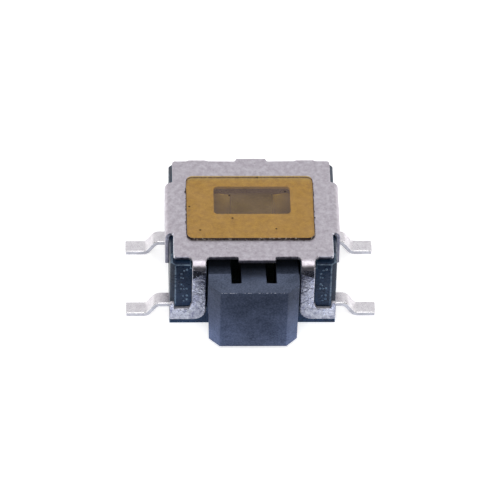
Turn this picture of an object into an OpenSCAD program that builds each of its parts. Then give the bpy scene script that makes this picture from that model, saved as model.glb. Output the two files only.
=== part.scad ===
// Side-push tactile switch for surface mounting, in millimetres.
// +Z is up from the board and the button is pressed towards +Y.
// The origin is the middle of the housing's underside.

/* [Housing] */
// Width of the moulded housing
housing_w = 6.0; // [5.8:0.05:6.6]
// Depth of the housing, front wall to rear wall
housing_d = 5.1; // [4.9:0.05:5.6]
// Height of the cover's top face above the board
body_h = 3.2; // [3.1:0.05:3.6]
// Thickness of the front wall that stops the button's lugs
front_wall_t = 0.55; // [0.4:0.05:0.8]
// Thickness of the rear wall that carries the contacts
rear_wall_t = 0.88; // [0.7:0.02:1.0]
// Plastic over the contact strip in the floor
floor_skin_t = 0.08; // [0.06:0.01:0.15]
// Drop of the front wall below the cover sheet
front_wall_drop = 0.07; // [0.05:0.01:0.2]
// Chamfer of the two upright front corners
front_corner_c = 0.2; // [0.1:0.02:0.3]

/* [Cover] */
// Thickness of the cover sheet
sheet_t = 0.15; // [0.12:0.01:0.16]
// Width of the flat top of the cover
plate_w = 5.74; // [5.6:0.02:5.76]
// Distance of the plate's front edge behind the housing's front
plate_setback = 0.19; // [0.1:0.01:0.24]
// Distance of the plate's rear edge behind the housing's rear
plate_overhang = 0; // [-0.02:0.01:0.05]
// Width of the window in the plate
window_w = 2.77; // [2.4:0.01:3.0]
// Depth of the window in the plate
window_d = 1.4; // [1.2:0.05:1.6]
// Distance from the plate's rear edge to the window
window_back = 1.31; // [1.2:0.01:1.4]
// Corner radius of the window
window_r = 0.15; // [0.1:0.01:0.3]
// Length of each side flange
flange_len = 2.6; // [2.0:0.05:3.0]
// Distance from the plate's rear edge to each side flange
flange_back = 1.09; // [0.8:0.01:1.3]
// Height that a side flange hangs down from the top face
flange_drop = 1.6; // [1.2:0.05:1.8]
// Width of a front leg
leg_w = 0.5; // [0.4:0.01:0.54]
// Gap between the button's channel and a front leg
leg_gap = 0.02; // [0.01:0.01:0.05]
// Inner radius of a front leg's bend
leg_bend_r = 0.22; // [0.15:0.01:0.25]
// Height of the hooked foot on a front leg
foot_h = 0.54; // [0.4:0.02:0.7]
// Height of the foot's underside above the board
foot_z = 0.34; // [0.2:0.02:0.4]
// Radius of the foot's inner lower corner
foot_r = 0.45; // [0.3:0.01:0.48]
// Width of the foot's upturned tip
tip_w = 0.17; // [0.12:0.01:0.25]
// Height of the foot's upturned tip
tip_h = 0.28; // [0.15:0.01:0.4]
// Width of a rear leg
rear_leg_w = 0.65; // [0.5:0.01:0.8]
// Distance of a rear leg from the middle
rear_leg_x = 1.96; // [1.6:0.02:2.1]
// Inner radius of a rear leg's bend
rear_bend_r = 0.03; // [0.02:0.01:0.06]
// Height of a rear leg's end above the board
rear_leg_z = 0.4; // [0.2:0.05:1.0]
// Width of the tongue on the plate's front edge
tongue_w = 1.35; // [1.0:0.05:1.5]
// Length of the tongue on the plate's front edge
tongue_out = 0.18; // [0.1:0.01:0.3]
// Distance of the tongue from the middle
tongue_x = 0.12; // [0:0.02:0.15]
// Width of the cut-off carrier stub on the plate's rear edge
stub_w = 1.05; // [0.8:0.05:1.4]
// Length of the carrier stub
stub_out = 0.14; // [0.08:0.01:0.2]

/* [Film] */
// Width of the sealing film on the cover
film_w = 4.6; // [4.0:0.05:5.0]
// Depth of the sealing film
film_d = 3.18; // [2.6:0.02:3.4]
// Thickness of the film with its adhesive
film_t = 0.09; // [0.05:0.01:0.12]
// Corner radius of the film
film_r = 0.25; // [0.15:0.01:0.4]
// Sideways offset of the film from the middle
film_x = -0.08; // [-0.15:0.01:0.1]
// Distance from the plate's rear edge to the film
film_back = 0.86; // [0.7:0.02:1.0]

/* [Button] */
// Width of the button at its top
button_w = 3.26; // [3.1:0.02:3.28]
// Narrowing of the button on each side, top to bottom
button_draft = 0.04; // [0:0.01:0.08]
// Height of the button's underside above the board
button_z = 0.15; // [0.1:0.01:0.3]
// Gap between the button's top and the cover sheet
button_top_gap = 0.16; // [0.1:0.01:0.25]
// Distance the button stands out in front of the housing
button_out = 1.33; // [1.1:0.01:1.6]
// Length of the button's head, front to back
head_len = 0.99; // [0.8:0.01:1.05]
// Chamfer of the head's two upright front edges
head_c = 0.43; // [0.2:0.01:0.5]
// Width of each slot in the button's top
slot_w = 0.36; // [0.3:0.01:0.4]
// Distance of each slot's middle from the middle of the button
slot_x = 0.63; // [0.6:0.01:0.7]
// Wall in front of the slots
slot_wall = 0.51; // [0.4:0.01:0.6]
// Drop of the two guide arms below the head's top
arm_drop = 0.29; // [0.2:0.01:0.4]
// Drop of the middle tongue below the head's top
spine_drop = 0.39; // [0.3:0.01:0.45]
// Length of the two guide arms behind the head
arm_len = 2.9; // [2.6:0.05:3.0]
// Height of each stop lug
lug_h = 1.2; // [0.8:0.05:1.6]
// Sideways reach of each stop lug
lug_out = 0.42; // [0.3:0.02:0.5]
// Length of each stop lug
lug_len = 0.4; // [0.3:0.02:0.5]
// Width of the pusher that works the dome
pusher_w = 1.55; // [1.3:0.01:1.6]
// Gap between the pusher's top and the cover sheet
pusher_top_gap = 0.23; // [0.15:0.01:0.3]
// Length of the pusher, front to back
pusher_len = 1.1; // [0.8:0.05:1.3]
// Radius of the nub on the pusher
nub_r = 0.3; // [0.2:0.01:0.4]
// Length of the nub on the pusher
nub_len = 0.08; // [0.05:0.01:0.12]
// Stroke of the button
travel = 0.25; // [0.15:0.01:0.25]

/* [Dome] */
// Width of the snap dome
dome_w = 3.2; // [3.0:0.02:3.24]
// Drop of the snap dome's top edge below the cover sheet
dome_drop = 0.53; // [0.5:0.01:0.8]
// Thickness of the snap dome
dome_t = 0.06; // [0.04:0.01:0.07]

/* [Terminals] */
// Span of the leads, tip to tip
lead_span = 9.05; // [8.6:0.05:9.6]
// Width of a lead
lead_w = 0.55; // [0.45:0.01:0.6]
// Thickness of the terminal sheet
lead_t = 0.2; // [0.15:0.01:0.22]
// Length of a solder pad
pad_len = 0.65; // [0.5:0.01:0.9]
// Height of the leads' underside where they leave the housing
lead_z = 0.5; // [0.45:0.01:0.6]
// Inner radius of the bends in a lead
lead_bend_r = 0.13; // [0.08:0.01:0.15]
// Slope of a lead between its two bends, in degrees
lead_slope = 55; // [50:1:75]
// Distance of the front leads' middle behind the housing's front
front_lead_y = 0.6; // [0.55:0.01:0.7]
// Distance between the front and the rear leads
lead_pitch = 3.13; // [3.0:0.01:3.16]
// Sideways offset of the leads
lead_x = -0.05; // [-0.08:0.01:0.08]
// Width of the middle contact
contact_w = 0.7; // [0.5:0.02:0.8]
// Width of each outer contact
outer_contact_w = 0.5; // [0.4:0.02:0.54]
// Height of the strip that leaves each outer contact
strip_h = 0.5; // [0.4:0.02:0.6]
// Height of the bar that joins the outer contacts
bar_h = 0.3; // [0.2:0.02:0.34]

/* [Fits] */
// Gap on each side of the sliding button
slide_gap = 0.05; // [0.03:0.01:0.07]
// Gap between the dome and the faces around it
dome_gap = 0.04; // [0.02:0.01:0.05]
// Gap between the stop lugs and the front wall at rest
stop_gap = 0.02; // [0.01:0.01:0.04]

/* [Hidden] */
ARC_STEPS = 6;
EPS = 0.01;
front_y = -housing_d / 2;
rear_y = housing_d / 2;
side_x = housing_w / 2;
wall_top = body_h - sheet_t;

// The contact strip runs inside the floor, under a thin skin
strip_top = lead_z + lead_t;
floor_z = strip_top + floor_skin_t;
rear_face_y = rear_y - rear_wall_t;
channel_x = button_w / 2 + slide_gap;
slide_z = floor_z + slide_gap;

// Cover sheet
plate_front = front_y + plate_setback;
plate_rear = rear_y + plate_overhang;
side_bend_r = side_x - plate_w / 2;
side_edge_c = side_bend_r + EPS;
rear_edge_c = rear_bend_r + EPS;
flange_y = plate_rear - flange_back - flange_len / 2;
leg_in_x = channel_x + leg_gap;
leg_out_x = leg_in_x + leg_w;
leg_start = front_y + leg_bend_r;
window_rear = plate_rear - window_back;
window_y = window_rear - window_d / 2;
film_y = plate_rear - film_back - film_d / 2;

// Dome, on edge in front of the contacts
dome_rise = travel + EPS;
dome_h = wall_top - dome_drop - floor_z - dome_gap;
dome_z = floor_z + dome_gap + dome_h / 2;
dome_room_x = dome_w / 2 + 2 * dome_gap;
dome_inner_r = (pow(dome_w / 2, 2) + pow(dome_rise, 2)) / (2 * dome_rise);
crown_y = rear_face_y - dome_rise - dome_t;

// Button
head_top = wall_top - button_top_gap;
head_front = front_y - button_out;
head_rear = head_front + head_len;
arm_top = head_top - arm_drop;
spine_top = head_top - spine_drop;
slot_front = head_front + slot_wall;
spine_half = slot_x - slot_w / 2;
lug_front = front_y + front_wall_t + stop_gap;
lug_pocket_x = button_w / 2 + lug_out + slide_gap;
lug_pocket_rear = lug_front + lug_len + travel + slide_gap * 2;
arm_rear = head_rear + arm_len;
arm_room = arm_rear + travel + 2 * slide_gap;
pusher_top = wall_top - pusher_top_gap;
pusher_rear = crown_y - nub_len - EPS;
pusher_front = pusher_rear - pusher_len;

// Terminals
front_lead_mid = front_y + front_lead_y;
rear_lead_mid = front_lead_mid + lead_pitch;
side_strip_x = (channel_x + side_x) / 2;
bar_z = dome_z + dome_h / 2 + 2 * dome_gap;
contact_top = dome_z + contact_w / 2;
outer_contact_x = dome_w / 2 - outer_contact_w / 2 + dome_gap;

function arc(c, r, from, to) = [
    for (i = [0:ARC_STEPS])
        let (a = from + (to - from) * i / ARC_STEPS)
        [c[0] + r * cos(a), c[1] + r * sin(a)]
];

// Flat rectangle with round corners
module round_rect(w, d, r) {
    square([w - 2 * r, d], center = true);
    square([w, d - 2 * r], center = true);
    for (sx = [-1, 1], sy = [-1, 1])
        translate([sx * (w / 2 - r), sy * (d / 2 - r)])
            circle(r = r, $fn = 32);
}

// Runs its children on the right and, mirrored, on the left
module both_sides() {
    children();
    mirror([1, 0, 0]) children();
}

// Extrudes a flat shape drawn in X and Z towards -Y, from y
module upright(y, t) {
    translate([0, y, 0])
        rotate([90, 0, 0])
            linear_extrude(t)
                children();
}

// Sheet that leaves a flat plate along +X and bends down.
// The bend starts at x = 0 and the plate's top face is z = 0.
module bent_down(width, r, drop, back) {
    outer = r + sheet_t;
    rotate([90, 0, 0])
        linear_extrude(width, center = true)
            polygon(concat(
                [[-back, 0]],
                arc([0, -outer], outer, 90, 0),
                [[outer, -drop], [r, -drop]],
                arc([0, -outer], r, 0, 90),
                [[-back, -sheet_t]]
            ));
}

// Outline of one front leg with its hooked foot
module leg_outline() {
    foot_top = foot_z + foot_h;
    tip_top = foot_top + tip_h;
    tip_r = tip_w * 0.6;
    fillet = foot_r / 6;
    polygon(concat(
        [[leg_out_x, body_h - leg_bend_r - sheet_t]],
        [[leg_in_x, body_h - leg_bend_r - sheet_t]],
        arc([leg_in_x + foot_r, foot_z + foot_r], foot_r, 180, 270),
        [[side_x, foot_z]],
        arc([side_x - tip_r, tip_top - tip_r], tip_r, 0, 90),
        [[side_x - tip_w, tip_top]],
        arc([side_x - tip_w - fillet, foot_top + fillet], fillet, 0, -90),
        arc([leg_out_x + 2 * fillet, foot_top + fillet], fillet, 270, 180),
        [[leg_out_x + fillet, foot_top + tip_h / 2]],
        [[leg_out_x, foot_top + tip_h]]
    ));
}

// Top plate with its window, front tongue and rear stub
module plate() {
    depth = plate_rear - plate_front;
    stub_slope = stub_out / 2;
    translate([0, 0, wall_top])
        linear_extrude(sheet_t)
            difference() {
                union() {
                    translate([-plate_w / 2, plate_front])
                        square([plate_w, depth]);
                    translate([tongue_x - tongue_w / 2, plate_front - tongue_out])
                        square([tongue_w, tongue_out + EPS]);
                    polygon([
                        [-stub_w / 2 - stub_slope, plate_rear - EPS],
                        [-stub_w / 2, plate_rear + stub_out],
                        [stub_w / 2, plate_rear + stub_out],
                        [stub_w / 2 + stub_slope, plate_rear - EPS]
                    ]);
                }
                translate([0, window_y])
                    round_rect(window_w, window_d, window_r);
            }
}

module cover() {
    back = 0.3;
    color("#b3acb4") {
        plate();
        both_sides() {
            translate([side_x - side_bend_r, flange_y, body_h])
                bent_down(flange_len, side_bend_r, flange_drop, back);
            translate([leg_in_x + leg_w / 2, leg_start, body_h])
                rotate([0, 0, -90])
                    bent_down(leg_w, leg_bend_r, leg_bend_r + sheet_t + EPS, back);
            upright(front_y, sheet_t)
                leg_outline();
            translate([rear_leg_x, rear_y - rear_bend_r, body_h])
                rotate([0, 0, 90])
                    bent_down(rear_leg_w, rear_bend_r, body_h - rear_leg_z, back);
        }
    }
}

module film() {
    color("#ab8852")
        translate([film_x, film_y, body_h])
            linear_extrude(film_t)
                round_rect(film_w, film_d, film_r);
}

// Housing block: outline from above, cut by its front and side profiles.
// The ledge under the cover's feet keeps its square corners.
module housing_block() {
    intersection() {
        union() {
            linear_extrude(wall_top)
                polygon([
                    [-side_x + front_corner_c, front_y],
                    [side_x - front_corner_c, front_y],
                    [side_x, front_y + front_corner_c],
                    [side_x, rear_y],
                    [-side_x, rear_y],
                    [-side_x, front_y + front_corner_c]
                ]);
            translate([-side_x, front_y, 0])
                cube([housing_w, 2 * front_corner_c, foot_z]);
        }
        upright(rear_y + EPS, housing_d + 2 * EPS)
            polygon([
                [-side_x, 0],
                [side_x, 0],
                [side_x, wall_top - side_edge_c],
                [side_x - side_edge_c, wall_top],
                [-side_x + side_edge_c, wall_top],
                [-side_x, wall_top - side_edge_c]
            ]);
        rotate([90, 0, 90])
            linear_extrude(housing_w + 2 * EPS, center = true)
                polygon([
                    [front_y, 0],
                    [rear_y, 0],
                    [rear_y, wall_top - rear_edge_c],
                    [rear_y - rear_edge_c, wall_top],
                    [front_y + front_wall_t, wall_top],
                    [front_y + front_wall_t, wall_top - front_wall_drop],
                    [front_y, wall_top - front_wall_drop]
                ]);
    }
}

// Room inside for the button, the dome and the button's lugs
module cavity() {
    high = body_h;
    translate([-channel_x, front_y - front_wall_t, floor_z])
        cube([2 * channel_x, arm_room - front_y + front_wall_t, high]);
    translate([-dome_room_x, arm_room - EPS, floor_z])
        cube([2 * dome_room_x, rear_face_y - arm_room + EPS, high]);
    translate([-lug_pocket_x, front_y + front_wall_t, floor_z])
        cube([2 * lug_pocket_x, lug_pocket_rear - front_y - front_wall_t, high]);
}

// Room under the bends of the two front legs
module leg_relief() {
    depth = leg_bend_r + EPS;
    both_sides()
        translate([leg_in_x - slide_gap, front_y - EPS, wall_top - leg_bend_r - EPS])
            cube([leg_w + 2 * slide_gap, depth + EPS, body_h]);
}

module housing() {
    color("#23262f")
        difference() {
            housing_block();
            cavity();
            leg_relief();
            middle_metal();
            outer_metal();
        }
}

// Gull-wing lead on the right, from x = from out to its tip
module lead(from, mid_y) {
    r = lead_bend_r;
    outer = r + lead_t;
    slant = (lead_z - (r + outer) * (1 - cos(lead_slope))) / sin(lead_slope);
    tip = lead_span / 2;
    knee = tip - pad_len;
    shoulder = knee - (r + outer) * sin(lead_slope) - slant * cos(lead_slope);
    high = lead_z + lead_t;
    translate([0, mid_y + lead_w / 2, 0])
        rotate([90, 0, 0])
            linear_extrude(lead_w)
                polygon(concat(
                    [[from, lead_z]],
                    arc([shoulder, lead_z - r], r, 90, 90 - lead_slope),
                    arc([knee, outer], outer, 270 - lead_slope, 270),
                    [[tip, 0], [tip, lead_t]],
                    arc([knee, outer], r, 270, 270 - lead_slope),
                    arc([shoulder, lead_z - r], outer, 90 - lead_slope, 90),
                    [[from, high]]
                ));
}

// Both leads of one terminal, shifted a little to one side
module lead_pair(from, mid_y) {
    translate([lead_x, 0, 0])
        both_sides()
            lead(from, mid_y);
}

// Strip across the floor, with a tongue back to the middle contact
module middle_metal() {
    contact_rear = rear_face_y + lead_t;
    lead_pair(side_strip_x, front_lead_mid);
    translate([-side_strip_x - lead_t, front_lead_mid - lead_w / 2, lead_z])
        cube([2 * side_strip_x + 2 * lead_t, lead_w, lead_t]);
    translate([-contact_w / 2, front_lead_mid, lead_z])
        cube([contact_w, contact_rear - front_lead_mid, lead_t]);
    translate([-contact_w / 2, rear_face_y, lead_z])
        cube([contact_w, lead_t, contact_top - lead_z]);
}

// Plate in the rear wall, with a contact under each end of the dome
module outer_metal() {
    contact_in = outer_contact_x - outer_contact_w / 2;
    contact_out = outer_contact_x + outer_contact_w / 2;
    contact_z = dome_z - strip_h;
    strip_y = rear_lead_mid - lead_w / 2;
    lead_pair(side_strip_x + lead_t / 2, rear_lead_mid);
    translate([-contact_out, rear_face_y, bar_z])
        cube([2 * contact_out, lead_t, bar_h]);
    both_sides() {
        translate([contact_in, rear_face_y, contact_z])
            cube([outer_contact_w, lead_t, bar_z + bar_h - contact_z]);
        translate([contact_in, rear_face_y, contact_z])
            cube([side_strip_x + lead_t - contact_in, lead_t, strip_h]);
        translate([side_strip_x, strip_y, lead_z])
            cube([lead_t, rear_face_y + lead_t - strip_y, dome_z - lead_z]);
    }
}

module terminal_middle() {
    color("#d9d4d2") middle_metal();
}

module terminal_outer() {
    color("#cfc9c6") outer_metal();
}

// Snap dome: a shallow shell, cut straight above and below
module dome() {
    outer_r = dome_inner_r + dome_t;
    color("#b9b39a")
        intersection() {
            translate([0, crown_y + outer_r, dome_z])
                difference() {
                    sphere(r = outer_r, $fn = 96);
                    sphere(r = dome_inner_r, $fn = 96);
                }
            translate([-dome_w / 2, crown_y - EPS, dome_z - dome_h / 2])
                cube([dome_w, rear_face_y - crown_y + EPS, dome_h]);
        }
}

// Head of the button: chamfered from above and drafted from the front
module button_head() {
    half = button_w / 2;
    low = half - button_draft;
    intersection() {
        translate([0, 0, button_z])
            linear_extrude(head_top - button_z)
                polygon([
                    [-half + head_c, head_front],
                    [half - head_c, head_front],
                    [half, head_front + head_c],
                    [half, head_rear],
                    [-half, head_rear],
                    [-half, head_front + head_c]
                ]);
        upright(head_rear, head_len + EPS)
            polygon([[-low, button_z], [low, button_z], [half, head_top], [-half, head_top]]);
    }
}

// Guide arm on the right, with the lug that stops against the front wall
module guide_arm() {
    inner = slot_x + slot_w / 2;
    translate([inner, head_rear - EPS, slide_z])
        cube([button_w / 2 - inner, arm_rear - head_rear + EPS, arm_top - slide_z]);
    translate([inner, lug_front, slide_z])
        cube([button_w / 2 + lug_out - inner, lug_len, lug_h]);
}

// Middle tongue that ramps down under the cover and ends in the pusher
module spine() {
    ramp_end = front_y + plate_setback;
    ramp = ramp_end - slot_front;
    rotate([90, 0, 90])
        linear_extrude(2 * spine_half, center = true)
            polygon(concat(
                [[pusher_front + EPS, slide_z]],
                [[pusher_front + EPS, spine_top]],
                [
                    for (i = [ARC_STEPS:-1:0])
                        [slot_front + ramp * i / ARC_STEPS,
                         head_top - spine_drop * (1 - cos(180 * i / ARC_STEPS)) / 2]
                ],
                [[slot_front - EPS, head_top]],
                [[slot_front - EPS, slide_z]]
            ));
    translate([-pusher_w / 2, pusher_front, slide_z])
        cube([pusher_w, pusher_rear - pusher_front, pusher_top - slide_z]);
    translate([0, pusher_rear - EPS, dome_z])
        rotate([-90, 0, 0])
            cylinder(r = nub_r, h = nub_len + EPS, $fn = 48);
}

module button() {
    color("#39404f") {
        difference() {
            button_head();
            translate([-slot_x - slot_w / 2, slot_front, slide_z])
                cube([2 * slot_x + slot_w, head_len, body_h]);
        }
        spine();
        both_sides()
            guide_arm();
    }
}

housing();
terminal_middle();
terminal_outer();
dome();
button();
cover();
film();
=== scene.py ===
import random
from math import cos, pi, radians, sin, tan

import bmesh
import bpy
from mathutils import Matrix, Vector


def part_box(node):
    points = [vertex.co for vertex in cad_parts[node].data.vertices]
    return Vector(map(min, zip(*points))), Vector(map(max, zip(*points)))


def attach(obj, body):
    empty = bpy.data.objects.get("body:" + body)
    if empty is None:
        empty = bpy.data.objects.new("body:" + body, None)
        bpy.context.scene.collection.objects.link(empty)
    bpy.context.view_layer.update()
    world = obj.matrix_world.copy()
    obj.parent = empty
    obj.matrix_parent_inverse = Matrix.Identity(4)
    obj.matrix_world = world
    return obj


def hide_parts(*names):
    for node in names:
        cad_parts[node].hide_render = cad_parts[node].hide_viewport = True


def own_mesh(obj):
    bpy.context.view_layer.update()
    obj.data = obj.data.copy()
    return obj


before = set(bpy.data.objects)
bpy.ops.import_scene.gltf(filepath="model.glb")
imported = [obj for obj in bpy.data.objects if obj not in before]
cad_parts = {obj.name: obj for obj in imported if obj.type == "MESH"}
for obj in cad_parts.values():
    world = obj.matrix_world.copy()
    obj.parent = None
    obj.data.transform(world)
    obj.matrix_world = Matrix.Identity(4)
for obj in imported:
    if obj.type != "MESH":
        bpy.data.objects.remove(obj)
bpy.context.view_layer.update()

# TERMINALS
# Two strips of phosphor bronze, stamped and bent in a progressive die and plated with matt tin.
# The housing is moulded round them. The gull-wing leads outside are soldered to the board, and
# the flat contacts inside stand behind the dome.

MM = 0.001

def linear(code):
    """Turns an sRGB hex colour into the linear RGBA that Blender's sockets take."""
    parts = [int(code[i : i + 2], 16) / 255 for i in (1, 3, 5)]
    return [c / 12.92 if c <= 0.04045 else ((c + 0.055) / 1.055) ** 2.4 for c in parts] + [1]


def add(owner, kind, inputs=None, **settings):
    """Adds one node to a material or a node tree, and sets or links its inputs."""
    tree = getattr(owner, "node_tree", owner)
    node = tree.nodes.new(kind if "Node" in kind else "ShaderNode" + kind)
    for name, value in settings.items():
        setattr(node, name, value)
    for socket, value in (inputs or {}).items():
        if isinstance(value, bpy.types.NodeSocket):
            tree.links.new(value, node.inputs[socket])
        else:
            node.inputs[socket].default_value = value
    return node


def new_material(name):
    """An empty node material and its Object coordinates, which are metres in the row frame."""
    material = bpy.data.materials.new(name)
    material.use_nodes = True
    material.node_tree.nodes.clear()
    return material, add(material, "TexCoord").outputs["Object"]


def grains(size):
    """Noise scale that gives features of about this many millimetres on metre coordinates."""
    return 1 / (size * MM)


def output(material, shader):
    """Ends a material in its surface shader."""
    add(material, "OutputMaterial", {"Surface": shader})
    return material


# Matt electroplated tin: a fine-grained, pale and slightly warm metal that blurs what it
# mirrors. Handling polishes it unevenly, which shows as soft clouds and a few darker specks.
def tin_plate(name, tint, clouds, rough, pits, wrinkles=0.0, metal=1.0):
    """Matt tin: tint is its colour, clouds its darker mottling, wrinkles their depth in mm low down."""
    material, place = new_material(name)
    cloud = add(material, "TexNoise", {"Vector": place, "Scale": grains(0.2), "Detail": 6, "Roughness": 0.75})
    grain = add(material, "TexNoise", {"Vector": place, "Scale": grains(0.07), "Detail": 3, "Roughness": 0.7})
    mixed = add(
        material, "MapRange",
        {"Value": cloud.outputs["Fac"], "From Min": 0.38, "From Max": 0.62, "To Min": 0.0, "To Max": 1.0},
    )
    colour = add(
        material, "Mix",
        {0: mixed.outputs[0], 6: linear(tint), 7: linear(clouds)},
        data_type="RGBA",
    )
    speck = add(material, "TexVoronoi", {"Vector": place, "Scale": grains(0.42), "Randomness": 1.0})
    dark = add(
        material, "MapRange",
        {"Value": speck.outputs["Distance"], "From Min": 0.035, "From Max": 0.085, "To Min": pits, "To Max": 0.0},
    )
    marked = add(
        material, "Mix",
        {0: dark.outputs[0], 6: colour.outputs[2], 7: linear("#5b5557")},
        data_type="RGBA",
    )
    sheen = add(
        material, "MapRange",
        {"Value": grain.outputs["Fac"], "From Min": 0.3, "From Max": 0.7, "To Min": rough - 0.07, "To Max": rough + 0.09},
    )
    bump = add(
        material, "Bump",
        {"Height": grain.outputs["Fac"], "Strength": 0.35, "Distance": 0.004 * MM},
    )
    if wrinkles:
        crumple = add(
            material, "TexNoise",
            {"Vector": place, "Scale": grains(0.26), "Detail": 1.6, "Roughness": 0.5, "Distortion": 1.2},
        )
        bent = add(material, "VectorMath", {0: crumple.outputs["Color"], 1: (0.00025,) * 3}, operation="MULTIPLY")
        warped = add(material, "VectorMath", {0: place, 1: bent.outputs[0]}, operation="ADD")
        crack = add(
            material, "TexVoronoi",
            {"Vector": warped.outputs[0], "Scale": grains(0.34), "Randomness": 1.0},
            feature="DISTANCE_TO_EDGE",
        )
        fold = add(
            material, "MapRange",
            {"Value": crack.outputs["Distance"], "From Min": 0.0, "From Max": 0.12, "To Min": -0.35, "To Max": 0.0},
        )
        height = add(material, "SeparateXYZ", {"Vector": place})
        below = add(
            material, "MapRange",
            {"Value": height.outputs["Z"], "From Min": 1.9 * MM, "From Max": 2.6 * MM, "To Min": 1.0, "To Max": 0.1},
        )
        rough_relief = add(material, "Math", {0: crumple.outputs["Fac"], 1: fold.outputs[0]}, operation="ADD")
        relief = add(material, "Math", {0: rough_relief.outputs[0], 1: below.outputs[0]}, operation="MULTIPLY")
        bump = add(
            material, "Bump",
            {"Height": relief.outputs[0], "Strength": 1.0, "Distance": wrinkles * MM, "Normal": bump.outputs[0]},
        )
    shader = add(
        material, "BsdfPrincipled",
        {
            "Base Color": marked.outputs[2],
            "Metallic": metal,
            "Roughness": sheen.outputs[0],
            "Normal": bump.outputs[0],
        },
    )
    return output(material, shader.outputs[0])


lead_tin = tin_plate("matt_tin_plated_bronze", "#EAE7EA", "#D5D0D5", 0.3, 0.18)
# The sheared sides are darker: partly the sheared surface, partly a painted shade.
sheared_shaded_lead_side = tin_plate("tin_plated_sheared_bronze_painted_shade", "#C3C4CE", "#A9AAB4", 0.34, 0.3)
lead_edge = tin_plate("burnished_tin_edge", "#F3F1F3", "#E6E4E7", 0.25, 0.0)


def copy_of(node, shortest=0.0005):
    """A CAD node's mesh in millimetres, merged, with each flat face in one piece."""
    work = bmesh.new()
    work.from_mesh(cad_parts[node].data)
    bmesh.ops.scale(work, vec=(1 / MM,) * 3, verts=work.verts)
    bmesh.ops.remove_doubles(work, verts=work.verts, dist=shortest)
    bmesh.ops.dissolve_limit(work, angle_limit=radians(0.5), verts=work.verts, edges=work.edges)
    return work


def piece(name, work, material, body, slot, *nodes):
    """Makes a mesh piece from millimetre geometry, ties it to its body and hides its CAD nodes; slot is not used."""
    bmesh.ops.scale(work, vec=(MM,) * 3, verts=work.verts)
    mesh = bpy.data.meshes.new(name)
    work.to_mesh(mesh)
    work.free()
    mesh.shade_smooth()
    for one in material if isinstance(material, list) else [material]:
        mesh.materials.append(one)
    made = bpy.data.objects.new(name, mesh)
    bpy.context.scene.collection.objects.link(made)
    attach(made, body)
    if nodes:
        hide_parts(*nodes)
    return made


def soften(made, width, steps=3, angle=35, edge_finish=-1):
    """Rounds edges by a width in millimetres, in a finish of their own, and keeps flat faces flat."""
    bevel = made.modifiers.new("edge_round", "BEVEL")
    bevel.width = width * MM
    bevel.segments = steps
    bevel.limit_method = "ANGLE"
    bevel.angle_limit = radians(angle)
    bevel.use_clamp_overlap = False
    bevel.material = edge_finish
    weights = made.modifiers.new("flat_faces", "WEIGHTED_NORMAL")
    weights.keep_sharp = True
    weights.weight = 80


stamped_edge = 0.035
for name in ("terminal_middle", "terminal_outer"):
    strip = copy_of(name)
    for face in strip.faces:
        if abs(face.normal.y) > 0.9:
            face.material_index = 1
    terminal = piece(name + "_strip", strip, [lead_tin, sheared_shaded_lead_side, lead_edge], "base", "terminal_metal", name)
    soften(terminal, stamped_edge, steps=3, edge_finish=2)

# HOUSING
# A black block of glass-filled thermoplastic, injection moulded round the two terminals. Its
# front pillars carry a column of small raised mould marks, plain uneven beads.

housing_shade = "#0e1a2c"


def moulded(name, shade, light, rough, grain_mm, bump_mm, gloss=0.5, painted_shade_span=None):
    """Moulded thermoplastic: flow clouds in the colour, a fine grain, and a painted shade that darkens it along Y."""
    material, place = new_material(name)
    flow = add(material, "TexNoise", {"Vector": place, "Scale": grains(0.9), "Detail": 4, "Distortion": 0.6})
    grain = add(material, "TexNoise", {"Vector": place, "Scale": grains(grain_mm), "Detail": 3, "Roughness": 0.65})
    both = add(material, "Mix", {0: 0.6, 2: flow.outputs["Fac"], 3: grain.outputs["Fac"]}, data_type="FLOAT")
    share = add(
        material, "MapRange",
        {"Value": both.outputs[0], "From Min": 0.38, "From Max": 0.62, "To Min": 0.0, "To Max": 1.0},
    )
    colour = add(
        material, "Mix",
        {0: share.outputs[0], 6: linear(shade), 7: linear(light)},
        data_type="RGBA",
    )
    sheen = add(
        material, "MapRange",
        {"Value": grain.outputs["Fac"], "From Min": 0.3, "From Max": 0.7, "To Min": rough - 0.06, "To Max": rough + 0.08},
    )
    bump = add(
        material, "Bump",
        {"Height": grain.outputs["Fac"], "Strength": 0.5, "Distance": bump_mm * MM},
    )
    tone = colour.outputs[2]
    # Painted shade: over the span of Y given, the colour darkens towards near-black and back.
    if painted_shade_span:
        along = add(material, "SeparateXYZ", {"Vector": place})
        share = [
            add(
                material, "MapRange",
                {"Value": along.outputs["Y"], "From Min": first * MM, "From Max": last * MM, "To Min": 0.0, "To Max": 0.88},
            ).outputs[0]
            for first, last in (painted_shade_span[:2], (painted_shade_span[3], painted_shade_span[2]))
        ]
        both_ends = add(material, "Math", {0: share[0], 1: share[1]}, operation="MINIMUM")
        tone = add(
            material, "Mix",
            {0: both_ends.outputs[0], 6: tone, 7: linear("#05070c")},
            data_type="RGBA",
        ).outputs[2]
    shader = add(
        material, "BsdfPrincipled",
        {
            "Base Color": tone,
            "Roughness": sheen.outputs[0],
            "Specular IOR Level": gloss,
            "IOR": 1.5,
            "Normal": bump.outputs[0],
        },
    )
    return output(material, shader.outputs[0])


black_lcp = moulded("moulded_black_lcp", housing_shade, "#1d3149", 0.3, 0.06, 0.006, 0.16)
# Edges and raised marks rub against trays and tapes and are polished; their paler colour is partly that rubbing and
# partly a painted highlight.
rubbed_highlit_lcp = moulded("rubbed_black_lcp_painted_highlight", "#2c4159", "#6f879c", 0.24, 0.05, 0.002, 0.5)
worn_highlit_edge = moulded("worn_black_lcp_edge_painted_highlight", "#22354a", "#64788c", 0.27, 0.12, 0.004, 0.4)
# Its edges take the paler worn finish, partly a painted highlight.
block = piece("housing_block", copy_of("housing"), [black_lcp, worn_highlit_edge], "base", "housing_plastic", "housing")
soften(block, 0.032, steps=3, edge_finish=1)


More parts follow.
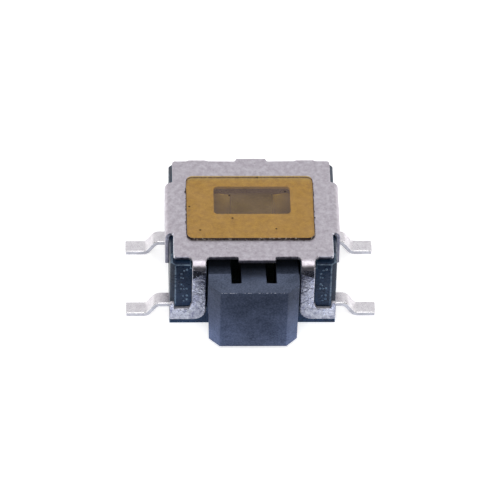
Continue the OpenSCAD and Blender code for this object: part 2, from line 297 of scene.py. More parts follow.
def new_tree(name, inputs):
    """A Geometry Nodes tree with its named inputs, given as (name, kind, value)."""
    tree = bpy.data.node_groups.new(name, "GeometryNodeTree")
    tree.interface.new_socket("Geometry", in_out="OUTPUT", socket_type="NodeSocketGeometry")
    for label, kind, value in inputs:
        socket = tree.interface.new_socket(label, in_out="INPUT", socket_type="NodeSocket" + kind)
        if value is not None:
            socket.default_value = value
    return tree, add(tree, "NodeGroupInput").outputs


def grown(tree, values):
    """Runs a Geometry Nodes tree that works in millimetres, and returns its result as a bmesh."""
    carrier = bpy.data.objects.new(tree.name, bpy.data.meshes.new(tree.name))
    bpy.context.scene.collection.objects.link(carrier)
    growth = carrier.modifiers.new("growth", "NODES")
    growth.node_group = tree
    for socket in tree.interface.items_tree:
        if socket.item_type == "SOCKET" and socket.name in values:
            growth[socket.identifier] = values[socket.name]
    graph = bpy.context.evaluated_depsgraph_get()
    mesh = bpy.data.meshes.new_from_object(carrier.evaluated_get(graph), depsgraph=graph)
    carrier.modifiers.remove(growth)
    bpy.data.objects.remove(carrier)
    work = bmesh.new()
    work.from_mesh(mesh)
    bpy.data.meshes.remove(mesh)
    return work


def marks_tree():
    """A column of small uneven beads, strewn from a grid and repeated on both pillars."""
    tree, given = new_tree("pillar_marks", [
        ("Rows", "Int", 9),
        ("Column Width", "Float", 0.19),
        ("Column Height", "Float", 1.5),
        ("Bead Radius", "Float", 0.035),
        ("Share", "Float", 0.42),
        ("Pillar X", "Float", 2.5),
        ("Face Y", "Float", -2.55),
        ("Middle Z", "Float", 1.95),
        ("Seed", "Int", 5),
        ("Finish", "Material", None),
    ])
    grid = add(
        tree, "GeometryNodeMeshGrid",
        {
            "Size X": given["Column Width"],
            "Size Y": given["Column Height"],
            "Vertices X": 3,
            "Vertices Y": given["Rows"],
        },
    )
    middle = add(tree, "CombineXYZ", {"Y": given["Face Y"], "Z": given["Middle Z"]})
    upright = add(
        tree, "GeometryNodeTransform",
        {"Geometry": grid.outputs["Mesh"], "Translation": middle.outputs[0], "Rotation": (pi / 2, 0, 0)},
    )
    stray = add(
        tree, "FunctionNodeRandomValue",
        {"Min": (-0.03, 0.0, -0.05), "Max": (0.03, 0.006, 0.05), "Seed": given["Seed"]},
        data_type="FLOAT_VECTOR",
    )
    strewn = add(tree, "GeometryNodeSetPosition", {"Geometry": upright.outputs[0], "Offset": stray.outputs["Value"]})
    kept = add(
        tree, "FunctionNodeRandomValue",
        {"Probability": given["Share"], "Seed": given["Seed"]},
        data_type="BOOLEAN",
    )
    size = add(
        tree, "FunctionNodeRandomValue",
        {"Min": (0.6, 0.7, 0.6), "Max": (1.5, 0.9, 1.8), "Seed": given["Seed"]},
        data_type="FLOAT_VECTOR",
    )
    bead = add(tree, "GeometryNodeMeshIcoSphere", {"Radius": given["Bead Radius"], "Subdivisions": 2})
    column = add(
        tree, "GeometryNodeInstanceOnPoints",
        {
            "Points": strewn.outputs[0],
            "Selection": [one for one in kept.outputs if one.enabled][0],
            "Instance": bead.outputs[0],
            "Scale": size.outputs["Value"],
        },
    )
    leftmost = add(tree, "Math", {0: given["Pillar X"], 1: -1.0}, operation="MULTIPLY")
    start = add(tree, "CombineXYZ", {"X": leftmost.outputs[0]})
    apart = add(tree, "Math", {0: given["Pillar X"], 1: 2.0}, operation="MULTIPLY")
    stride = add(tree, "CombineXYZ", {"X": apart.outputs[0]})
    pillars = add(
        tree, "GeometryNodeMeshLine",
        {"Count": 2, "Start Location": start.outputs[0], "Offset": stride.outputs[0]},
    )
    both = add(tree, "GeometryNodeInstanceOnPoints", {"Points": pillars.outputs[0], "Instance": column.outputs[0]})
    real = add(tree, "GeometryNodeRealizeInstances", {"Geometry": both.outputs[0]})
    finished = add(tree, "GeometryNodeSetMaterial", {"Geometry": real.outputs[0], "Material": given["Finish"]})
    add(tree, "NodeGroupOutput", {"Geometry": finished.outputs[0]})
    return tree


# The marks take the paler rubbed finish, partly a painted highlight.
marks = piece("pillar_marks", grown(marks_tree(), {"Seed": 5, "Finish": rubbed_highlit_lcp}), rubbed_highlit_lcp, "base", "housing_plastic")

# DOME
# A shallow snap dome of hard-rolled stainless spring steel, blanked round with two straight
# sides. It stands on edge with its rim on the outer contacts and snaps over to the middle one.

dome_low, dome_high = [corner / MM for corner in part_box("dome")]
dome_half_w = (dome_high.x - dome_low.x) / 2
dome_half_h = (dome_high.z - dome_low.z) / 2
dome_mid_z = (dome_high.z + dome_low.z) / 2
dome_t = 0.06
dome_rings, dome_spokes = 18, 72


def dome_mesh():
    """Rings of a spherical cap out to the blank's edge, front and back, joined at the rim."""
    rise = dome_high.y - dome_low.y - dome_t
    inner_r = (dome_half_w**2 + rise**2) / (2 * rise)
    work = bmesh.new()
    skins = []
    for deep, radius in ((0.0, inner_r + dome_t), (dome_t, inner_r)):
        centre_y = dome_low.y + inner_r + dome_t
        rows = [[work.verts.new((0, centre_y - radius, dome_mid_z))]]
        for ring in range(1, dome_rings + 1):
            row = []
            for k in range(dome_spokes):
                turn = 2 * pi * k / dome_spokes
                reach = min(dome_half_w, dome_half_h / max(abs(sin(turn)), 1e-6))
                out = reach * ring / dome_rings
                y = centre_y - (radius**2 - out**2) ** 0.5
                row.append(work.verts.new((out * cos(turn), min(y, dome_high.y), dome_mid_z + out * sin(turn))))
            rows.append(row)
        skins.append(rows)
        for k in range(dome_spokes):
            n = (k + 1) % dome_spokes
            fan = [rows[0][0], rows[1][k], rows[1][n]]
            work.faces.new(fan if deep == 0 else fan[::-1])
            for a, b in zip(rows[1:], rows[2:]):
                quad = [a[k], b[k], b[n], a[n]]
                work.faces.new(quad if deep == 0 else quad[::-1])
    for k in range(dome_spokes):
        n = (k + 1) % dome_spokes
        front, back = skins[0][-1], skins[1][-1]
        work.faces.new([front[k], back[k], back[n], front[n]]).material_index = 1
    return work


# Hard-rolled stainless steel with thin matt silver plating: pale and a little yellow, with fine straight
# rolling lines about 0.04 mm apart that run up the dome. A painted shade darkens it towards the rim.
# Its sheared rim is bare.
def rolled_steel(name, pale, dull, metal, rough):
    """Rolled steel in two shades of one colour, with its metallic share and roughness."""
    material, place = new_material(name)
    lines = add(material, "Mapping", {"Vector": place, "Scale": (1.0, 1.0, 0.04)})
    streak = add(material, "TexNoise", {"Vector": lines.outputs[0], "Scale": grains(0.04), "Detail": 3})
    colour = add(
        material, "Mix",
        {0: streak.outputs["Fac"], 6: linear(pale), 7: linear(dull)},
        data_type="RGBA",
    )
    flat = add(material, "VectorMath", {0: place, 1: (1.0, 0.0, 1.0)}, operation="MULTIPLY")
    reach = add(material, "VectorMath", {0: flat.outputs[0], 1: (0.0, 0.0, dome_mid_z * MM)}, operation="DISTANCE")
    # Painted shade: darker with distance from the dome's middle.
    painted_rim_shade = add(
        material, "MapRange",
        {"Value": reach.outputs["Value"], "From Min": 1.1 * MM, "From Max": 1.7 * MM, "To Min": 0.0, "To Max": 0.7},
    )
    rim_shaded_colour = add(
        material, "Mix",
        {0: painted_rim_shade.outputs[0], 6: colour.outputs[2], 7: linear("#6B6558")},
        data_type="RGBA",
    )
    bump = add(material, "Bump", {"Height": streak.outputs["Fac"], "Strength": 0.3, "Distance": 0.002 * MM})
    shader = add(
        material, "BsdfPrincipled",
        {"Base Color": rim_shaded_colour.outputs[2], "Metallic": metal, "Roughness": rough, "Normal": bump.outputs[0]},
    )
    return output(material, shader.outputs[0])


dome_finish = [
    rolled_steel("silver_plated_spring_steel", "#E8EEDD", "#CCD0BB", 0.1, 0.45),
    rolled_steel("sheared_spring_steel", "#4A4540", "#35312D", 0.3, 0.6),
]
snap_dome = piece("snap_dome", dome_mesh(), dome_finish, "base", "dome_steel", "dome")
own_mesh(snap_dome)

# BUTTON
# One dark slate moulding of nylon: a head with two slots, two guide arms with stop lugs, and a
# middle tongue that ramps down under the cover and ends in the pusher against the dome.

slate_nylon = moulded("moulded_slate_nylon", "#373f50", "#576076", 0.55, 0.06, 0.012, 0.14)
# Behind the head the guides run under the cover: the nylon there is a little smoother, and a painted shade
# makes it darker, fading back to plain towards the pusher.
shaded_guide_nylon = moulded("slate_nylon_painted_shade", "#373f50", "#576076", 0.5, 0.06, 0.006, 0.12, (-2.7, -2.2, -1.9, -1.2))
slots_start = -3.37
moulding = copy_of("button", 0.012)
for face in moulding.faces:
    if min(v.co.y for v in face.verts) > slots_start - 0.02:
        face.material_index = 1
knob = piece("button_moulding", moulding, [slate_nylon, shaded_guide_nylon], "button", "button_plastic", "button")
soften(knob, 0.03, steps=3)


def flecks_tree():
    """Tiny flakes of flash strewn along the head's upper front edge."""
    tree, given = new_tree("flash_flecks", [
        ("Count", "Int", 26),
        ("Half Width", "Float", 1.16),
        ("Edge Y", "Float", -3.87),
        ("Edge Z", "Float", 2.884),
        ("Fleck Radius", "Float", 0.02),
        ("Share", "Float", 0.55),
        ("Seed", "Int", 11),
        ("Finish", "Material", None),
    ])
    left = add(tree, "Math", {0: given["Half Width"], 1: -1.0}, operation="MULTIPLY")
    start = add(tree, "CombineXYZ", {"X": left.outputs[0], "Y": given["Edge Y"], "Z": given["Edge Z"]})
    end = add(tree, "CombineXYZ", {"X": given["Half Width"], "Y": given["Edge Y"], "Z": given["Edge Z"]})
    edge = add(
        tree, "GeometryNodeMeshLine",
        {"Count": given["Count"], "Start Location": start.outputs[0], "Offset": end.outputs[0]},
        mode="END_POINTS",
    )
    stray = add(
        tree, "FunctionNodeRandomValue",
        {"Min": (-0.045, 0.0, -0.008), "Max": (0.045, 0.006, 0.004), "Seed": given["Seed"]},
        data_type="FLOAT_VECTOR",
    )
    strewn = add(tree, "GeometryNodeSetPosition", {"Geometry": edge.outputs[0], "Offset": stray.outputs["Value"]})
    kept = add(
        tree, "FunctionNodeRandomValue",
        {"Probability": given["Share"], "Seed": given["Seed"]},
        data_type="BOOLEAN",
    )
    size = add(
        tree, "FunctionNodeRandomValue",
        {"Min": (0.5, 0.35, 0.5), "Max": (2.4, 0.5, 0.9), "Seed": given["Seed"]},
        data_type="FLOAT_VECTOR",
    )
    flake = add(tree, "GeometryNodeMeshIcoSphere", {"Radius": given["Fleck Radius"], "Subdivisions": 1})
    flakes = add(
        tree, "GeometryNodeInstanceOnPoints",
        {
            "Points": strewn.outputs[0],
            "Selection": [one for one in kept.outputs if one.enabled][0],
            "Instance": flake.outputs[0],
            "Scale": size.outputs["Value"],
        },
    )
    real = add(tree, "GeometryNodeRealizeInstances", {"Geometry": flakes.outputs[0]})
    finished = add(tree, "GeometryNodeSetMaterial", {"Geometry": real.outputs[0], "Material": given["Finish"]})
    add(tree, "NodeGroupOutput", {"Geometry": finished.outputs[0]})
    return tree


# Torn nylon flash, stress-whitened; its pale colour is partly that and partly a painted highlight, pale glints on the
# dark edge.
whitened_glinting_flash = moulded("stress_white_nylon_flash_painted_glints", "#8d93a6", "#c3c7d4", 0.4, 0.02, 0.002, 0.4)
flecks = piece("flash_flecks", grown(flecks_tree(), {"Seed": 11, "Finish": whitened_glinting_flash}), whitened_glinting_flash, "button", "button_plastic")

# COVER
# One sheet of tin-plated steel, blanked with its window and notches and folded down over the
# housing: two front legs with hooked feet, two side flanges and two rear legs.

sheet_t = 0.15
body_top = 3.2
front_bend_r, side_bend_r, rear_bend_r = 0.22, 0.13, 0.03
front_fold, side_fold, rear_fold = -2.33, 2.87, 2.52
plate_front, plate_rear = -2.36, 2.55
leg_in, leg_out, foot_out = 1.7, 2.2, 3.0
foot_low, foot_high, tip_high, tip_in = 0.34, 0.88, 1.16, 2.83
flange_front, flange_rear, flange_low = -1.14, 1.46, 1.6
rear_leg_in, rear_leg_out, rear_leg_low = 1.635, 2.285, 0.4
tongue_left, tongue_right, tongue_front = -0.555, 0.795, -2.54
stub_half, stub_slope, stub_rear = 0.525, 0.07, 2.69
window_half, window_front, window_rear, window_r = 1.385, -0.16, 1.24, 0.15
rim_round = 0.032
crease_inner, crease_slant, crease_deep, crease_fade = 2.76, 0.5, 0.055, 0.9


def bend_length(r):
    """Flat length of a 90-degree bend, along the middle of the sheet."""
    return (r + sheet_t / 2) * pi / 2


def flat_to(r, start, z):
    """How far past a fold line, in the flat blank, the height z lies on the folded-down part."""
    return bend_length(r) + (body_top - r - sheet_t - z)


def turned(s, deep, r):
    """How far out and how far down a point lies that is s past a fold line and deep in the sheet."""
    outer = r + sheet_t
    if s < bend_length(r):
        angle = s / (r + sheet_t / 2)
        return (outer - deep) * sin(angle), outer - (outer - deep) * cos(angle)
    return outer - deep, outer + s - bend_length(r)


def folded(u, v, deep):
    """Where a point of the flat blank ends up on the folded cover, in millimetres."""
    if v < front_fold and abs(u) > 1.25:
        out, down = turned(front_fold - v, deep, front_bend_r)
        return u, front_fold - out - crease_swell(u, body_top - down), body_top - down
    if v > rear_fold and abs(u) > 1.1:
        out, down = turned(v - rear_fold, deep, rear_bend_r)
        return u, rear_fold + out, body_top - down
    if abs(u) > side_fold:
        out, down = turned(abs(u) - side_fold, deep, side_bend_r)
        return (side_fold + out) * (1 if u > 0 else -1), v, body_top - down
    return u, v, body_top - deep


def crease_height(u):
    """Height of the slanting crease across a front leg."""
    return crease_inner - (abs(u) - leg_in) * crease_slant


def crease_swell(u, z):
    """How far the leg stands out at its crease, where the press has bent it back."""
    above = (body_top - front_bend_r - sheet_t - z) / max(body_top - front_bend_r - sheet_t - crease_height(u), 0.01)
    below = 1 - (crease_height(u) - z) / crease_fade
    return crease_deep * max(0, min(above, below))


def rounded(corners, steps=6):
    """A closed outline with each (x, y, radius) corner rounded by an arc."""
    points = []
    for i, (x, y, r) in enumerate(corners):
        here = Vector((x, y))
        before = (Vector(corners[i - 1][:2]) - here).normalized()
        after = (Vector(corners[(i + 1) % len(corners)][:2]) - here).normalized()
        half = before.angle(after) / 2
        if r < 1e-6 or half > 1.55:
            points.append(here)
            continue
        centre = here + (before + after).normalized() * (r / sin(half))
        start = here + before * (r / tan(half)) - centre
        end = here + after * (r / tan(half)) - centre
        sweep = start.angle_signed(end)
        for k in range(steps + 1):
            spin = Matrix.Rotation(-sweep * k / steps, 2)
            points.append(centre + spin @ start)
    return points


def blank(outlines, thickness, rim, steps=2):
    """A flat sheet cut to its outlines, holes included, with its rims rounded: z 0 is its middle."""
    curve = bpy.data.curves.new("blank", "CURVE")
    curve.dimensions = "2D"
    curve.fill_mode = "BOTH"
    curve.extrude = thickness / 2 - rim
    curve.bevel_depth = rim
    curve.bevel_resolution = steps
    curve.offset = -rim
    for outline in outlines:
        line = curve.splines.new("POLY")
        line.points.add(len(outline) - 1)
        for point, (x, y) in zip(line.points, outline):
            point.co = (x, y, 0, 1)
        line.use_cyclic_u = True
    shape = bpy.data.objects.new("blank", curve)
    bpy.context.scene.collection.objects.link(shape)
    bpy.context.view_layer.update()
    graph = bpy.context.evaluated_depsgraph_get()
    mesh = bpy.data.meshes.new_from_object(shape.evaluated_get(graph), depsgraph=graph)
    work = bmesh.new()
    work.from_mesh(mesh)
    bpy.data.objects.remove(shape)
    bpy.data.curves.remove(curve)
    bpy.data.meshes.remove(mesh)
    bmesh.ops.remove_doubles(work, verts=work.verts, dist=1e-4)
    bmesh.ops.recalc_face_normals(work, faces=work.faces)
    return work


def cut_along(work, point, normal, near=None):
    """Cuts a sheet's faces along a line, so that it can bend there."""
    faces = [f for f in work.faces if near is None or near(f.calc_center_median())]
    geometry = faces + list({e for f in faces for e in f.edges}) + list({v for f in faces for v in f.verts})
    bmesh.ops.bisect_plane(work, geom=geometry, plane_co=(*point, 0), plane_no=(*normal, 0), dist=1e-6)


def cover_outline():
    """The blank's outer outline, counter-clockwise, with the corner radii that the punch leaves."""
    down = front_fold - flat_to(front_bend_r, front_fold, 0)
    foot = [down + z for z in (foot_low, foot_high, tip_high)]
    flange = side_fold + flat_to(side_bend_r, side_fold, flange_low)
    rear = rear_fold + flat_to(rear_bend_r, rear_fold, rear_leg_low)
    right = [
        (leg_in, plate_front, 0.13),
        (leg_in, foot[0], 0.45),
        (foot_out, foot[0], 0.05),
        (foot_out, foot[2], 0.1),
        (tip_in, foot[2], 0.03),
        (tip_in, foot[1], 0.07),
        (leg_out + 0.06, foot[1], 0.12),
        (leg_out + 0.06, foot[1] + 0.14, 0.05),
        (leg_out, foot[2], 0.1),
        (leg_out, plate_front, 0.13),
        (side_fold, plate_front, 0.13),
        (side_fold, flange_front, 0.05),
        (flange, flange_front, 0.1),
        (flange, flange_rear, 0.12),
        (side_fold, flange_rear, 0.05),
        (side_fold, plate_rear, 0.1),
        (rear_leg_out, plate_rear, 0.09),
        (rear_leg_out, rear, 0.06),
        (rear_leg_in, rear, 0.06),
        (rear_leg_in, plate_rear, 0.09),
        (stub_half + stub_slope, plate_rear, 0.04),
        (stub_half, stub_rear, 0.03),
    ]
    left = [(-x, y, r) for x, y, r in reversed(right)]
    tongue = [
        (tongue_left, plate_front, 0.06),
        (tongue_left, tongue_front, 0.05),
        (tongue_right, tongue_front, 0.05),
        (tongue_right, plate_front, 0.06),
    ]
    return rounded(tongue + right + left)


def cover_mesh():
    """The blank, cut along its fold lines in fine steps and folded."""
    window = rounded([
        (-window_half, window_front, window_r),
        (window_half, window_front, window_r),
        (window_half, window_rear, window_r),
        (-window_half, window_rear, window_r),
    ])
    work = blank([cover_outline(), window], sheet_t, rim_round, 4)
    for start, r, across, count in (
        (front_fold, front_bend_r, -1, 12),
        (rear_fold, rear_bend_r, 1, 6),
    ):
        for k in range(count + 1):
            cut_along(work, (0, start + across * bend_length(r) * k / count), (0, 1))
    for side in (-1, 1):
        for k in range(11):
            cut_along(work, (side * (side_fold + bend_length(side_bend_r) * k / 10), 0), (1, 0))
    leg_top = front_fold - bend_length(front_bend_r)
    for side in (-1, 1):
        flat_crease = leg_top - (body_top - front_bend_r - sheet_t - crease_inner)

        def on_leg(point):
            return leg_in - 0.01 < side * point.x < leg_out + 0.1 and point.y < leg_top

        for step in (0.06, 0, -0.06, -0.3, -0.6, -crease_fade):
            cut_along(work, (side * leg_in, flat_crease + step), (side * crease_slant, 1), on_leg)
    for f in work.faces:
        at = f.calc_center_median()
        if abs(f.normal.z) < 0.95 and abs(at.x) < window_half + 0.1 and window_front - 0.1 < at.y < window_rear + 0.1:
            f.material_index = 3
        # The cut edge over the button is darker: a painted shade.
        elif abs(f.normal.z) < 0.9 and abs(at.x) < leg_in - 0.1 and at.y < plate_front + 0.1:
            f.material_index = 4
        # The cut edge at the corners and flange ends is a shaded copy too: a lighter painted shade.
        elif abs(f.normal.z) < 0.9 and leg_out + 0.12 < abs(at.x) < side_fold - 0.04 and abs(at.y - plate_front) < 0.05:
            f.material_index = 6
        elif abs(f.normal.z) < 0.9 and abs(at.x) > side_fold + 0.06 and abs(at.y - flange_front) < 0.05:
            f.material_index = 6
        # The side rims near the front corners are brighter: a painted highlight.
        elif abs(f.normal.z) < 0.95 and abs(at.x) > side_fold - 0.1 and plate_front - 0.1 < at.y < flange_front:
            f.material_index = 5
        elif abs(f.normal.z) < 0.5:
            f.material_index = 1
        elif at.y < leg_top:
            f.material_index = 2
    for v in work.verts:
        v.co = folded(v.co.x, v.co.y, sheet_t / 2 - v.co.z)
    return work


cover_tin = tin_plate("matt_tin_plated_steel", "#CFCAD1", "#B2AAB3", 0.36, 0.45)
cut_steel = tin_plate("punched_bare_steel", "#DAD7DE", "#BDBAC2", 0.45, 0.3, metal=0.72)
leg_tin = tin_plate("wrinkled_tin_plated_steel", "#C1C4D0", "#7F8296", 0.25, 0.35, wrinkles=0.019)
wetted_steel = tin_plate("adhesive_wetted_steel_edge", "#DCD3CE", "#CBC2BD", 0.7, 0.0)
# Painted shade: a darker copy of the cut steel, for the front edge over the button.
notch_edge_painted_shade = tin_plate("bare_steel_edge_painted_shade", "#817E89", "#57555E", 0.5, 0.0, metal=0.8)
# Painted shade: a shaded copy of the cut steel, for the corners and flange ends.
corner_edge_painted_shade = tin_plate("bare_steel_edge_lighter_painted_shade", "#A2A3B2", "#7F8090", 0.42, 0.0)
# Painted highlight: a brighter copy of the cut steel, for the side rims near the front corners.
side_rim_painted_highlight = tin_plate("steel_edge_painted_highlight", "#E6E6EE", "#D2D2DC", 0.24, 0.0)
cover_finish = [cover_tin, cut_steel, leg_tin, wetted_steel, notch_edge_painted_shade, side_rim_painted_highlight, corner_edge_painted_shade]
shell = piece("cover_sheet", cover_mesh(), cover_finish, "base", "cover_metal", "cover")
weights = shell.modifiers.new("flat_faces", "WEIGHTED_NORMAL")
weights.keep_sharp = True
weights.weight = 80

# FILM
# A patch of polyimide tape, die-cut with round corners and stuck over the window to keep flux
# and dust out. The adhesive under it is hazy, and dirt holds to its cut edge.

film_mid_x, film_half_w = -0.08, 2.3
film_front, film_rear, film_t, film_r = -1.49, 1.69, 0.09, 0.25


def film_mesh():
    corners = [
        (film_mid_x - film_half_w, film_front, film_r),
        (film_mid_x + film_half_w, film_front, film_r),
        (film_mid_x + film_half_w, film_rear, film_r),
        (film_mid_x - film_half_w, film_rear, film_r),
    ]
    thickness = film_t - 0.004
    work = blank([rounded(corners, 10)], thickness, 0.012)
    for v in work.verts:
        v.co.z += body_top + film_t - thickness / 2
    for f in work.faces:
        if abs(f.normal.z) < 0.8 and f.normal.y < 0.6:
            f.material_index = 1
        elif f.normal.z < 0.8:
            f.material_index = 2
    return work


# Polyimide with a silicone adhesive: clear amber that lets warm light through, with a milky
# haze from the adhesive that shows grey-brown where there is nothing bright behind it.
def amber_film():
    material, place = new_material("polyimide_tape")
    haze = add(material, "TexNoise", {"Vector": place, "Scale": grains(0.45), "Detail": 7, "Roughness": 0.72})
    cloud = add(
        material, "MapRange",
        {"Value": haze.outputs["Fac"], "From Min": 0.3, "From Max": 0.7, "To Min": 0.0, "To Max": 1.0},
    )
    colour = add(
        material, "Mix",
        {0: cloud.outputs[0], 6: linear("#CAAC9A"), 7: linear("#A48879")},
        data_type="RGBA",
    )
    speck = add(
        material, "TexVoronoi",
        {"Vector": place, "Scale": grains(1.4), "Randomness": 1.0},
        voronoi_dimensions="2D",
    )
    dirt = add(
        material, "MapRange",
        {"Value": speck.outputs["Distance"], "From Min": 0.012, "From Max": 0.038, "To Min": 1.0, "To Max": 0.0},
    )
    specked, amber = [
        add(
            material, "Mix",
            {0: dirt.outputs[0], 6: clean, 7: linear("#3A2717")},
            data_type="RGBA",
        )
        for clean in (colour.outputs[2], (1.0, 0.76, 0.14, 1))
    ]
    body = add(material, "BsdfPrincipled", {"Base Color": specked.outputs[2], "Roughness": 0.38, "IOR": 1.5})
    clear = add(material, "BsdfTransparent", {"Color": amber.outputs[2]})
    both = add(material, "MixShader", {0: 0.25, 1: clear.outputs[0], 2: body.outputs[0]})
    return output(material, both.outputs[0])


# The tape's adhesive side, wetted out on the metal, which adds nothing of its own.
def wet_adhesive():
    material, place = new_material("wetted_silicone_adhesive")
    return output(material, add(material, "BsdfTransparent", {"Color": (1, 1, 1, 1)}).outputs[0])


# The tape's cut edge, dark with dust that its adhesive has caught, with a few pale spots that are painted glints.
def dusty_glinting_edge():
    material, place = new_material("dusty_adhesive_edge_painted_glints")
    dust = add(material, "TexNoise", {"Vector": place, "Scale": grains(0.12), "Detail": 4, "Roughness": 0.7})
    share = add(
        material, "MapRange",
        {"Value": dust.outputs["Fac"], "From Min": 0.55, "From Max": 0.66, "To Min": 0.0, "To Max": 0.9},
    )
    # Painted glints: pale spots on the dark dust.
    colour = add(
        material, "Mix",
        {0: share.outputs[0], 6: linear("#2E1C14"), 7: linear("#C9BFAE")},
        data_type="RGBA",
    )
    shader = add(material, "BsdfPrincipled", {"Base Color": colour.outputs[2], "Roughness": 0.45})
    return output(material, shader.outputs[0])


edge_dust_and_glints = dusty_glinting_edge()
film_finish = [amber_film(), edge_dust_and_glints, wet_adhesive()]
film = piece("sealing_film", film_mesh(), film_finish, "base", "film_polyimide", "film")
weights = film.modifiers.new("flat_faces", "WEIGHTED_NORMAL")
weights.weight = 80


def dust_line_mesh():
    """The uneven line of dirt in the adhesive that has crept out round the tape, least at its rear."""
    inner, outer = [
        rounded([
            (film_mid_x - film_half_w - grow, film_front - grow, film_r + grow),
            (film_mid_x + film_half_w + grow, film_front - grow, film_r + grow),
            (film_mid_x + film_half_w + grow, film_rear + grow, film_r + grow),
            (film_mid_x - film_half_w - grow, film_rear + grow, film_r + grow),
        ], 10)
        for grow in (-0.01, 0.0)
    ]
    chance = random.Random(4)
    ragged = []
    for here, after in zip(outer, outer[1:] + outer[:1]):
        parts = max(1, round((after - here).length / 0.05))
        for k in range(parts):
            point = here.lerp(after, k / parts)
            away = Vector((after.y - here.y, here.x - after.x)).normalized()
            creep = 0.004 + 0.03 * chance.random() ** 1.5 + (0.03 if chance.random() < 0.06 else 0)
            if point.y > film_rear - film_r:
                creep *= 0.3
            ragged.append(point + away * creep)
    work = blank([ragged, inner], 0.03, 0.002)
    for v in work.verts:
        v.co.z += body_top + 0.02
    return work


dust_line = piece("film_dust_line", dust_line_mesh(), edge_dust_and_glints, "base", "film_polyimide")

# STUDIO
# A white table that goes on behind the object, soft light from above and the long lens of the
# photograph, which looks down from the front at about 45 degrees.

table_mesh = bpy.data.meshes.new("table")
table_work = bmesh.new()
bmesh.ops.create_grid(table_work, x_segments=1, y_segments=1, size=1.5)
table_work.to_mesh(table_mesh)
table_work.free()
table = bpy.data.objects.new("table", table_mesh)
bpy.context.scene.collection.objects.link(table)


# White laminate. The part of its white that only the camera and mirrors see fills up what the
# soft light leaves, so the table shows as white as the photograph's and keeps its shadow. A painted
# shadow of the camera darkens the table in front for all but the camera's rays, soft at its edges.
def white_laminate():
    material, place = new_material("white_laminate")
    path = add(material, "LightPath")
    across = add(material, "SeparateXYZ", {"Vector": place})
    out = add(material, "Math", {0: across.outputs["X"]}, operation="ABSOLUTE")
    spread = add(material, "Math", {0: out.outputs[0], 1: across.outputs["Y"]}, operation="ADD")
    narrow = add(
        material, "MapRange",
        {"Value": spread.outputs[0], "From Min": -2.2 * MM, "From Max": -0.4 * MM, "To Min": 1.0, "To Max": 0.0},
    )
    ahead = add(
        material, "MapRange",
        {"Value": across.outputs["Y"], "From Min": -4.8 * MM, "From Max": -3.8 * MM, "To Min": 1.0, "To Max": 0.0},
    )
    # Painted shadow of the camera: dark in front of the object, for all rays but the camera's.
    dark = add(material, "Math", {0: narrow.outputs[0], 1: ahead.outputs[0]}, operation="MULTIPLY")
    unseen = add(material, "Math", {0: 1.0, 1: path.outputs["Is Camera Ray"]}, operation="SUBTRACT")
    painted_camera_shadow = add(material, "Math", {0: dark.outputs[0], 1: unseen.outputs[0]}, operation="MULTIPLY")
    fine = add(material, "TexNoise", {"Vector": place, "Scale": grains(4.0), "Detail": 2})
    laminate = add(
        material, "Mix",
        {0: fine.outputs["Fac"], 6: linear("#E6E6E6"), 7: linear("#E9E9E9")},
        data_type="RGBA",
    )
    colour = add(
        material, "Mix",
        {0: painted_camera_shadow.outputs[0], 6: laminate.outputs[2], 7: linear("#2E2F36")},
        data_type="RGBA",
    )
    diffuse = add(material, "BsdfDiffuse", {"Color": colour.outputs[2]})
    mirrored = add(
        material, "Math",
        {0: path.outputs["Is Glossy Ray"], 1: path.outputs["Is Transmission Ray"]},
        operation="MAXIMUM",
    )
    off = add(material, "Math", {0: mirrored.outputs[0], 1: painted_camera_shadow.outputs[0]}, operation="SUBTRACT", use_clamp=True)
    dim = add(material, "Math", {0: off.outputs[0], 1: 0.5}, operation="MULTIPLY")
    full = add(material, "Math", {0: path.outputs["Is Camera Ray"], 1: 0.62}, operation="MULTIPLY")
    strength = add(material, "Math", {0: dim.outputs[0], 1: full.outputs[0]}, operation="ADD")
    glow = add(material, "Emission", {"Color": (1, 1, 1, 1), "Strength": strength.outputs[0]})
    both = add(material, "AddShader", {0: diffuse.outputs[0], 1: glow.outputs[0]})
    return output(material, both.outputs[0])


table_mesh.materials.append(white_laminate())

world = bpy.data.worlds.new("studio")
bpy.context.scene.world = world
world.use_nodes = True
world.node_tree.nodes.clear()
way = add(world, "TexCoord").outputs["Generated"]
tent = add(world, "VectorMath", {0: way, 1: (0, sin(radians(45)), cos(radians(45)))}, operation="DOT_PRODUCT")
lift = add(
    world, "MapRange",
    {"Value": tent.outputs["Value"], "From Min": 0.15, "From Max": 0.9, "To Min": 0.08, "To Max": 0.88},
    interpolation_type="SMOOTHSTEP",
)
sky = add(world, "Background", {"Color": (0.98, 0.985, 1, 1), "Strength": lift.outputs[0]})
white = add(world, "Background", {"Color": (1, 1, 1, 1), "Strength": 1.0})
sides = add(world, "SeparateXYZ", {"Vector": way})
behind = add(
    world, "MapRange",
    {"Value": sides.outputs["Y"], "From Min": -0.35, "From Max": 0.0, "To Min": 0.0, "To Max": 1.0},
)
low = add(
    world, "MapRange",
    {"Value": sides.outputs["Z"], "From Min": 0.12, "From Max": 0.4, "To Min": 1.0, "To Max": 0.0},
)
sweep = add(world, "Math", {0: behind.outputs[0], 1: low.outputs[0]}, operation="MULTIPLY")
path = add(world, "LightPath")
mirrored = add(
    world, "Math",
    {0: path.outputs["Is Glossy Ray"], 1: path.outputs["Is Transmission Ray"]},
    operation="MAXIMUM",
)
swept = add(world, "Math", {0: mirrored.outputs[0], 1: sweep.outputs[0]}, operation="MULTIPLY")
seen = add(world, "Math", {0: path.outputs["Is Camera Ray"], 1: swept.outputs[0]}, operation="MAXIMUM")
seen_sky = add(world, "MixShader", {0: seen.outputs[0], 1: sky.outputs[0], 2: white.outputs[0]})
add(world, "OutputWorld", {"Surface": seen_sky.outputs[0]})


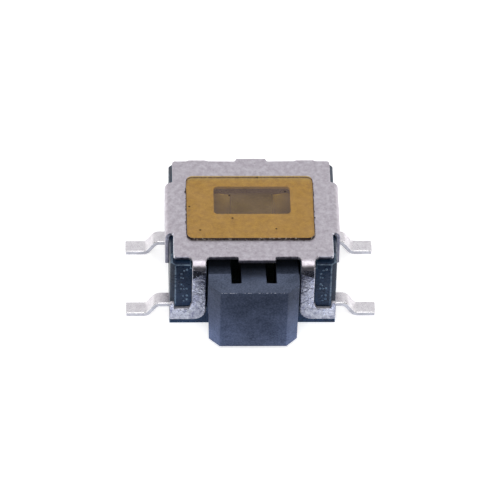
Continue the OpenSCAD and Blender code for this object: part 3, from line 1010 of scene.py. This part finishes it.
def softbox(name, place, aim, width, depth, power, tint="#FFFFFF"):
    """A soft rectangular lamp: place, aim and size in millimetres, power in watts."""
    lamp = bpy.data.lights.new(name, "AREA")
    lamp.shape = "RECTANGLE"
    lamp.color = linear(tint)[:3]
    lamp.size, lamp.size_y = width * MM, depth * MM
    lamp.energy = power
    made = bpy.data.objects.new(name, lamp)
    bpy.context.scene.collection.objects.link(made)
    made.location = Vector(place) * MM
    made.rotation_euler = (Vector(aim) * MM - made.location).to_track_quat("-Z", "Y").to_euler()
    made.visible_camera = False
    return made


softbox("camera_softbox", (0, -79, 91), (0, 0, 0), 90, 128, 0.08)
back_fill = softbox("rear_fill", (0, 80, 120), (0, 0, 0), 120, 120, 0.04)
back_fill.visible_glossy = False
cool_fill = softbox("cool_front_fill", (0, -90, 15), (0, 0, 0), 160, 50, 0.0028, "#90C8FF")
cool_fill.visible_glossy = False
for side in (-1, 1):
    strip = softbox("side_strip", (side * 120, 20, 70), (0, 0, 0), 50, 120, 0.03)
    strip.visible_diffuse = False
    low = softbox("low_fill", (side * 2.6, -4.9, 0.12), (side * 1.45, -3.65, 0.12), 1.6, 0.2, 0.00005, "#E4EAFF")
    low.visible_glossy = False

azimuth, elevation, roll = radians(-2.456), radians(45.307), radians(1.622)
distance, focal_px, frame_px, sensor_mm = 190, 5231.4, 500, 36
back = Vector((sin(azimuth) * cos(elevation), -cos(azimuth) * cos(elevation), sin(elevation)))
level = Vector((cos(azimuth), sin(azimuth), 0))
upright = back.cross(level)
right = level * cos(roll) + upright * sin(roll)
up = upright * cos(roll) - level * sin(roll)
aim = Vector((0, -0.35, 1.2)) - right * 0.0506 + up * 0.2253

lens = bpy.data.cameras.new("photo_camera")
lens.sensor_width = sensor_mm
lens.lens = focal_px / frame_px * sensor_mm
lens.clip_start, lens.clip_end = 0.01, 10
camera = bpy.data.objects.new("photo_camera", lens)
bpy.context.scene.collection.objects.link(camera)
turn = Matrix((right, up, back)).transposed().to_4x4()
camera.matrix_world = Matrix.Translation((aim + back * distance) * MM) @ turn
bpy.context.scene.camera = camera
bpy.context.scene.view_settings.view_transform = "Standard"
